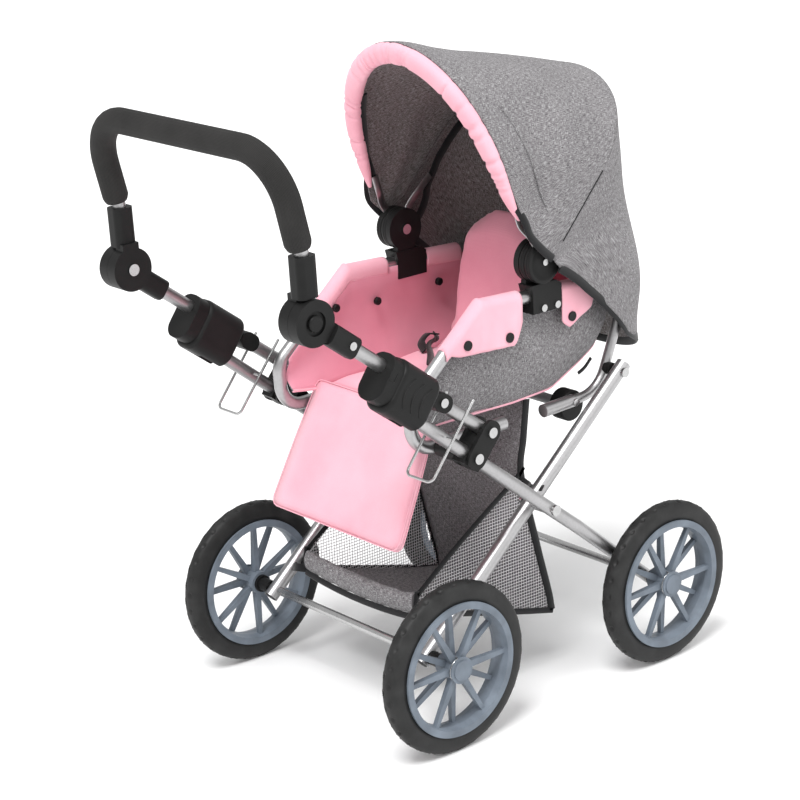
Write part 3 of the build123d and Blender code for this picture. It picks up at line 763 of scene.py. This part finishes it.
def hood_bows():
    """Each bow: black discs on the pivots, flat steel links, and a taped hoop inside the cloth."""
    for body, angle, ahead, half, straight, apex, x_from, x_to, wide in (
            ("hood_mid", MID_ANGLE, 0.0, 96.0, 96, 197, 91.9, 98.6, 9.0),
            ("hood_front", FRONT_ANGLE, 7.0, 99.5, 85, 200, 98.9, 105.6, 6.0)):
        node, turn = f"{body}_bow", math.radians(angle)
        angular = np.array([0, -math.sin(turn), math.cos(turn)])
        low = (24, 8, 22, 42) if body == "hood_mid" else (46, angle, angle, angle)
        hoop = arch(half, straight, apex, low[0], lambda r: side_plane(
            float(np.interp(r, (24, 34, 52, 78), (*low[1:], angle))), r, ahead))
        band = swept(f"{node}_tape", evenly(hoop, 120), strap_section(wide, 2.4), TAPE, angular)
        settle(band, body, "black_snap", node)
        parts = []
        for _, sign in SIDES:
            hub = turned("hub", disc_profile(x_from, x_to, 20.0), HOOD_PIVOT, BLACK, sign=sign)
            x = (x_from + x_to) / 2
            inside = half - 2.6
            link = places([(sign * x, *side_plane(angle + 6, 12)),
                           (sign * x, *side_plane(angle + 6, 28, ahead * 0.3)),
                           (sign * inside, *side_plane(angle + 4, 42, ahead * 0.8)),
                           (sign * inside, *side_plane(angle + 1, 60, ahead))])
            plate = swept("link", evenly(curve_through(link, 60), 40), strap_section(8.0, 1.6), TUBE, angular)
            parts += [hub, plate]
        settle(joined(f"{node}_links", parts), body, "black_plastic")


hood_cloth()
hood_seams()
hood_tapes()
hood_binding()
hood_bows()


# ---- seat ----
SEAT_THICK = 1.6
RING_Y, RING_Z = (5, 90, 285), (311, 382, 373)
BOTTOM_Y = (8, 40, 94, 141, 188, 209, 246, 263, 286)
BOTTOM_Z = (286, 281, 280, 279, 281, 291, 309, 325, 338)
TUB_LINE = ((86, 12), (86, 60), (86, 120), (86, 180), (86, 238), (79, 262), (58, 276), (25, 279))


def ring_height(y):
    return float(np.interp(y, RING_Y, RING_Z))


def tub_path():
    line = [*TUB_LINE, (0, 279.5), *[(-x, y) for x, y in reversed(TUB_LINE)]]
    return curve_through([(x, y, 0) for x, y in line], 121)[:, :2]


def tub_outward(path):
    run = np.gradient(path, axis=0)
    return unit_rows(np.stack([run[:, 1], -run[:, 0]], axis=1))


def seat_tub():
    """Grey outside and pink inside, hung from the ring tube and gathered in at the bottom."""
    path = tub_path()
    out = tub_outward(path)
    rows = []
    for v in np.linspace(0, 1, 15):
        row = []
        for (x, y), (nx, ny) in zip(path, out):
            low = float(np.interp(y, BOTTOM_Y, BOTTOM_Z))
            slack = 6.5 * math.sin(math.pi * min(1.0, v * 1.15)) - 5.0 * (1 - v) ** 3
            slack += 1.1 * math.sin(y * 0.11 + v * 5) * math.sin(math.pi * v)
            row.append(place(x + nx * slack, y + ny * slack, low + (ring_height(y) - 1 - low) * v))
        rows.append(row)
    grid = np.array(rows)
    # The tub's inner side gets the darker pink, which is painted shade.
    tub = cloth_sheet("seat_tub", grid, SEAT_THICK, [GREY, PINK_LINING_PAINTED_SHADE])
    settle(tub, "chassis", "grey_melange", "seat_shell")
    piping = swept("seat_piping", evenly(grid[0], 220), round_section(1.5, 10), PINK)
    settle(piping, "chassis", "pink_cloth")
    floor_rows = []
    for y in np.linspace(47, 276, 34):
        z = float(np.interp(y, (47, 188, 262, 276), (282, 283, 326, 334)))
        half = 82.5 - max(0.0, y - 240) * 0.55
        floor_rows.append([place(x, y, z - 2.5 * (1 - (x / 85) ** 2)) for x in np.linspace(-half, half, 24)])
    base = cloth_sheet("seat_floor", np.array(floor_rows), SEAT_THICK, [PINK_UV, GREY])
    settle(base, "chassis", "pink_cloth")
    loop = [(93, 214, 292), (93.5, 222, 296), (93, 231, 303)]
    for side, sign in SIDES:
        path = curve_through(places([(sign * x, y, z) for x, y, z in loop]), 16)
        tab = swept(f"seat_slot_{side}", path, strap_section(4.0, 1.6), TAPE, in_plane(path))
        settle(tab, "chassis", "black_snap")


def seat_pads():
    """The cushion, and the padded backrest that rises behind it."""
    outline = rounded_outline([(-80, 0), (80, 0), (77, 145), (-77, 145)], [6, 6, 14, 14])
    cushion = pad_body("seat_cushion", outline, (47, 286), (1, 0.03), 6, PINK)
    puff(cushion, 4)
    settle(cushion, "chassis", "pink_cloth")
    outline = rounded_outline([(-60, 0), (60, 0), (64, 150), (-64, 150)], [14, 14, 60, 60])
    # The backrest gets the darker pink, which is painted shade.
    back = pad_body("backrest_cushion", outline, (186, 292), (31, 133), 9, PINK_PAINTED_SHADE)
    puff(back, 7)
    settle(back, "chassis", "pink_cloth", "backrest_pad")


def folded_flap(name, sign, y_from, y_to, bottom_y, bottom_z):
    """A pink flap that comes up inside the seat, over the ring tube and down to its snaps."""
    rows = []
    for y in np.linspace(y_from, y_to, 34):
        centre = ring_height(y)
        rise = 8.6 if y < 92 else 7.6          # taller over the sloping part of the tube
        bottom = float(np.interp(y, bottom_y, bottom_z))
        line = [(SEAT_X - 6.6, centre - 8), (SEAT_X - 7.4, centre - 4), (SEAT_X - 7.6, centre)]
        line += [(SEAT_X - 7.5 * math.cos(a), centre + rise * math.sin(a))
                 for a in np.linspace(0.2, math.pi - 0.2, 12)]
        line += [(SEAT_X + 7.2, z) for z in np.linspace(centre, min(bottom, centre - 1), 24)]
        crease = 0.5 * math.sin(y * 0.35)
        rows.append([place(sign * (x + (crease * max(0.0, (centre - z) / 40) if x > SEAT_X else 0)), y, z)
                     for x, z in evenly(np.array(line), 30)])
    grid = np.array(rows)
    piece = cloth_sheet(name, grid if sign > 0 else grid[:, ::-1], 1.1, [PINK_UV])
    settle(piece, "chassis", "pink_cloth")
    return piece


def seat_flaps():
    long_flaps, short_flaps = [], []
    for side, sign in SIDES:
        long_flaps.append(folded_flap(f"side_flap_{side}", sign, 45, 138, (45, 48, 61, 128, 134, 138),
                                      (350, 348, 344, 340, 350, 360)))
        short_flaps.append(folded_flap(f"small_flap_{side}", sign, 188, 232, (188, 190, 197, 226, 232),
                                       (350, 347, 342, 356, 374)))
    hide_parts("side_flaps")
    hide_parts("small_flaps")


def foot_flap():
    """Boxed flap that runs on from the cushion, over the seat's front edge, and hangs."""
    hinge, along, thick = (45, 289), (-57, -113), 7.0
    outline = rounded_outline([(-81, 0), (81, 0), (87, 60), (91, 126), (-91, 126), (-87, 60)],
                              [6, 6, 20, 9, 9, 20], 4.0)
    body = pad_body("flap_body", outline, hinge, along, thick, PINK, crown=1.6)
    parts = [body]
    for face in (1, -1):
        offset = thick / 2 * 0.8 * face
        path = places([(u, *on_slope(hinge, along, v, offset)) for u, v in outline])
        parts.append(swept("flap_piping", path, round_section(0.55, 8), PINK, closed=True))
    piece = joined("foot_flap_pad", parts)
    settle(piece, "foot_flap", "pink_cloth", "foot_flap")


def harness():
    """Black webbing that comes out of the seat's back corners and crosses the cushion."""
    parts = []
    for sign in (1, -1):
        belt = [(sign * 72, 184, 304), (sign * 66, 178, 303), (sign * 52, 158, 302), (sign * 34, 143, 299),
                (sign * 14, 124, 297)]
        loop = [(sign * 67, 180, 306), (sign * 66, 168, 309), (sign * 62, 156, 304), (sign * 50, 150, 300)]
        parts.append(strap("belt", belt, (0.6, -0.8, 0.1), 9, 1.4))
        parts.append(strap("loop", loop, (1.0, 0, 0.2), 9, 1.4))
    tail = [(34, 84, 296), (28, 66, 295), (18, 52, 292), (6, 43, 285)]
    parts.append(strap("tail", tail, (0.8, -0.5, 0), 9, 1.4))
    settle(joined("harness", parts), "chassis", "black_snap")


SNAP_POINTS = ((70, 353), (121, 349), (200, 352))


def inner_snaps():
    """The snaps' caps on the lining, opposite the studs outside."""
    parts = []
    for _, sign in SIDES:
        for y, z in SNAP_POINTS:
            cap = [(SEAT_X - 8.0, 3.9), (SEAT_X - 10.8, 3.9), (SEAT_X - 11.6, 3.2), (SEAT_X - 12.0, 0.6)]
            parts.append(turned("cap", cap, (y, z), SNAP, sides=24, sign=-sign))
    settle(joined("inner_snaps", parts), "chassis", "black_snap")


seat_tub()
seat_pads()
seat_flaps()
foot_flap()
harness()
inner_snaps()


# ---- basket ----
BASKET_HALF = 80.0
BASKET_LINE = ((17, 122), (18, 108), (60, 93), (104, 80), (150, 67), (184, 59), (180, 82), (166, 135),
               (151, 200), (154, 240), (159, 276))


def basket_cloth():
    """One length of cloth: rear lip, sagging floor, front wall, and up to the seat."""
    line = np.array([(0, y, z) for y, z in BASKET_LINE], float)
    profile = np.vstack([curve_through(line[:6], 34), curve_through(line[5:], 44)[1:]])[:, 1:]
    rows = []
    for k, (y, z) in enumerate(profile):
        t = k / (len(profile) - 1)
        sag = 6.0 * math.exp(-((t - 0.22) / 0.16) ** 2)
        belly = 3.5 * math.sin(math.pi * min(1.0, max(0.0, (t - 0.45) / 0.55)))
        row = []
        for x in np.linspace(-BASKET_HALF, BASKET_HALF, 33):
            inner = 1 - (x / BASKET_HALF) ** 2
            fold = 1.4 * math.sin(x * 0.09 + t * 6) * inner
            row.append(place(x, y + belly * inner * 0.8 + fold * 0.6, z - (sag + fold * 0.4) * inner))
        rows.append(row)
    cloth = cloth_sheet("basket_cloth", np.array(rows), 1.3, [GREY])
    settle(cloth, "chassis", "grey_melange", "basket")


def net_side(side, sign):
    """Square netting as real threads, clipped to the side's outline."""
    outline = np.array([(17, 124), (19, 106), (104, 80), (186, 59), (168, 130), (150, 204), (143, 203)])
    pitch, thread = 3.1, 0.34
    verts, faces = [], []

    def line(y0, z0, y1, z1):
        run = np.array([y1 - y0, z1 - z0])
        normal = np.array([-run[1], run[0]]) / np.linalg.norm(run) * thread
        base = len(verts)
        for y, z in ((y0, z0), (y1, z1)):
            belly = 2.0 * math.sin(math.pi * min(1, max(0, (y - 17) / 150)))
            for dx, dn in ((-thread, 0), (0, -1), (thread, 0), (0, 1)):
                x = sign * (BASKET_HALF - 0.6 - belly) + dx
                verts.append(place(x, y + normal[0] * dn, z + normal[1] * dn))
        for j in range(4):
            faces.append((base + j, base + (j + 1) % 4, base + 4 + (j + 1) % 4, base + 4 + j))
        faces.extend([(base + 3, base + 2, base + 1, base), (base + 4, base + 5, base + 6, base + 7)])

    for horizontal in (True, False):
        for level in np.arange(58.0 if horizontal else 18.0, 205.0, pitch):
            hits = []
            for p, q in zip(outline, np.roll(outline, -1, axis=0)):
                a, b = (p, q) if horizontal else (p[::-1], q[::-1])
                if (a[1] - level) * (b[1] - level) < 0:
                    hits.append(a[0] + (b[0] - a[0]) * (level - a[1]) / (b[1] - a[1]))
            hits.sort()
            for low, high in zip(hits[::2], hits[1::2]):
                cuts = np.linspace(low, high, max(2, int((high - low) / 9)))
                for a, b in zip(cuts[:-1], cuts[1:]):
                    line(*((a, level, b, level) if horizontal else (level, a, level, b)))
    return mesh_piece(f"basket_net_{side}", verts, faces, [THREAD], smooth=False)


def lip_line(y, z, half):
    """Points across the basket's rear edge, which sags towards the middle."""
    points = []
    for x in np.linspace(-half, half, 9):
        sag = 1 - (x / BASKET_HALF) ** 2
        points.append((x, y - 2.5 * sag, z - 4 * sag))
    return points


def basket_trims():
    """Black binding along the basket's edges, its straps, and the padded rear lip."""
    parts = []
    for sign in (1, -1):
        x = sign * BASKET_HALF
        for width, line in (
                (8.5, ((159, 277), (154, 240), (150, 204), (168, 130), (182, 78), (186, 58))),
                (6.0, ((153, 212), (143, 203), (104, 180), (60, 153), (17, 124))),
                (6.0, ((17, 128), (18, 107), (60, 93), (104, 80), (150, 67), (187, 57)))):
            path = curve_through(places([(x, y, z) for y, z in line]), 60)
            parts.append(swept("trim", path, strap_section(width, 2.2), TAPE, in_plane(path)))
        loop = [(x, 150, 200), (sign * 92, 147, 199), (sign * 103, 140, 201), (sign * 118, 141, 204)]
        corner = [(x, 20, 104), (sign * 92, 14, 104), (sign * 104, 19, 100), (sign * 102, 30, 100),
                  (sign * 88, 30, 106), (x, 24, 108)]
        parts.append(strap("loop", loop, (0, 0.77, 0.64), 7, 1.4))
        parts.append(strap("corner", corner, (0, 0.3, 1), 8, 1.6))
    parts.append(strap("lip", lip_line(14, 103, 79), (0, 0.3, 1), 6, 2.0))
    settle(joined("basket_trim", parts), "chassis", "black_snap")

    def padded_section(t):
        angles = np.linspace(0, 2 * math.pi, 20, endpoint=False)
        swell = 1 + 0.06 * math.sin(t * 40)
        return np.stack([np.cos(angles) * 5.2 * swell, np.sin(angles) * 10.5 * swell], axis=1)

    piece = swept("basket_lip", curve_through(places(lip_line(17, 115, 78)), 60), padded_section, GREY,
                  (0, 1, 0.1))
    settle(piece, "chassis", "grey_melange")


basket_cloth()
for net_name, net_sign in SIDES:
    net = net_side(net_name, net_sign)
    settle(net, "chassis", "pink_cloth")
basket_trims()


# ---- handle ----
GRIP_PATH = ((129.2, -135.0, 487.2), (129.2, -153.5, 567.5))
GRIP_BEND = 46.0
GRIP_R, GRIP_END_R = 11.5, 9.4


def grip():
    """Foam sleeve with a bend at each corner and slightly rolled ends."""
    low, top = (np.array(p) for p in GRIP_PATH)
    run = unit(low - top)
    arc = []
    for t in np.linspace(0, math.pi / 2, 20):
        centre = top + run * GRIP_BEND + np.array([-GRIP_BEND, 0, 0])
        arc.append(centre + np.array([GRIP_BEND * math.cos(t), 0, 0]) - run * GRIP_BEND * math.sin(t))
    half = [low, *arc]
    line = np.array(half + [p * (-1, 1, 1) for p in reversed(half)])
    path = evenly(places(line), 260)
    angles = np.linspace(0, 2 * math.pi, 44, endpoint=False)

    def section(t):
        end = min(t, 1 - t) * 260
        rolled = GRIP_END_R + 2.1 * math.sin(end / 4 * math.pi / 2)
        radius = GRIP_R if end > 4 else rolled
        ripple = radius + 0.12 * np.cos(angles * 22)
        return np.stack([np.cos(angles) * ripple, np.sin(angles) * ripple], axis=1)

    piece = swept("grip_sleeve", path, section, FOAM)
    settle(piece, "handlebar", "black_foam", "handle_grip")


grip()


# ---- wheels ----
WHEEL_R, TYRE_SEAT_R, TYRE_HALF = 80.0, 61.2, 8.65
DIMPLES = 30                      # in each of a tyre's two rows
DIMPLE_ROWS = ((3.5, 0.0), (-3.5, 0.5))          # (x, shift in steps)
DIMPLE_LONG, DIMPLE_WIDE, DIMPLE_DEEP = 2.9, 1.9, 1.5


def tyre(end, side, centre):
    """Round-shouldered tyre with two staggered rows of oval dimples."""
    around, across = 384, 36
    low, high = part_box(f"tyre_{end}_{side}")
    middle = (low.x + high.x) / 2 / MM
    phi = np.linspace(0, math.pi, across)
    x = TYRE_HALF * np.sign(np.cos(phi)) * np.abs(np.cos(phi)) ** 0.72
    radius = TYRE_SEAT_R + (WHEEL_R - TYRE_SEAT_R) * np.sin(phi) ** 0.5
    verts = []
    for j in range(around):
        turn = j / around
        for px, pr in zip(x, radius):
            dip = 0.0
            for row, shift in DIMPLE_ROWS:
                place_in = ((turn * DIMPLES + shift) % 1.0 - 0.5) * 2 * math.pi * WHEEL_R / DIMPLES
                d = (place_in / DIMPLE_LONG) ** 2 + ((px - row) / DIMPLE_WIDE) ** 2
                dip += DIMPLE_DEEP * max(0.0, 1 - d) ** 0.6 - 0.4 * math.exp(-((d - 1.5) / 0.45) ** 2)
            r = pr - dip * (1 if pr > 74 else 0)
            a = 2 * math.pi * turn
            verts.append(place(middle + px, centre[0] + r * math.cos(a), centre[1] + r * math.sin(a)))
    faces = []
    for j in range(around):
        n = (j + 1) % around
        for k in range(across):
            m = (k + 1) % across
            faces.append((j * across + k, n * across + k, n * across + m, j * across + m))
    piece = mesh_piece(f"tyre_tread_{end}_{side}", verts, faces, [RUBBER])
    settle(piece, f"wheel_{end}_{side}", "tyre", f"tyre_{end}_{side}")


def hub_clip(end, side, sign, centre):
    """Bright wire spring that holds the wheel on its axle, seen round the hub."""
    turns = np.linspace(math.radians(100), math.radians(280), 26)
    arc = [(sign * 154.2, centre[0] + 11.6 * math.cos(t), centre[1] + 11.6 * math.sin(t)) for t in turns]
    ends = [(sign * 151.0, centre[0] + 11.9 * math.cos(turns[0]), centre[1] + 11.9 * math.sin(turns[0]))]
    piece = swept(f"hub_clip_{end}_{side}", evenly(places(ends + arc), 40), round_section(0.7, 8), ZINC)
    settle(piece, f"wheel_{end}_{side}", "zinc_steel")


for wheel_end, wheel_centre in (("front", (272.6, 80.0)), ("rear", (0.0, 80.0))):
    for wheel_side, wheel_sign in SIDES:
        tyre(wheel_end, wheel_side, wheel_centre)
        hub_clip(wheel_end, wheel_side, wheel_sign, wheel_centre)


# ---- slider details ----
HANDLE_PIVOT, HANDLE_JOINT = np.array((53.3, 287.0)), np.array((-131.4, 425.5))


def slider_details():
    """Three crescent ribs on the outer face and the lock's notch on the collar."""
    along = unit(HANDLE_JOINT - HANDLE_PIVOT)
    below = np.array((-along[1], along[0]))
    for side, sign in SIDES:
        parts = []
        for at in (94, 105, 116):
            line = []
            for t in np.linspace(-1, 1, 15):
                y, z = HANDLE_PIVOT + along * (at + 5.5 * (1 - t * t)) + below * (10.5 + 13.5 * t)
                line.append((sign * (153.9 + 0.2 * (1 - t * t)), y, z))
            parts.append(swept("rib", evenly(places(line), 30), round_section(0.9, 8), BLACK))
        notch = [HANDLE_PIVOT + along * a + below * b for a, b in ((136, 1), (136, 9), (141, 9))]
        path = evenly(places([(sign * 151.9, *p) for p in notch]), 24)
        parts.append(swept("notch", path, round_section(0.8, 6), SNAP))
        settle(joined(f"slider_marks_{side}", parts), f"slider_{side}", "black_plastic")


slider_details()


# ---- everything carried over from the frame ----
def repaint():
    slots = {part["node"]: part["material_slot"] for part in frame["record"]["subparts"]}
    for name, node in frame["nodes"].items():
        node.data.materials.clear()
        node.data.materials.append(BY_SLOT[slots[name]])


repaint()


def floor():
    paint = Paint("floor_paint", 0.9, specular=0.1)
    paint.colour(paint.ramp(paint.noise(3, 2.0), [(0.2, grey_of(0.93)), (0.8, grey_of(0.96))]))
    corners = [(-15, -15, 0), (15, -15, 0), (15, 15, 0), (-15, 15, 0)]
    mesh_piece("floor", corners, [(0, 1, 2, 3)], [paint.material], smooth=False)


floor()
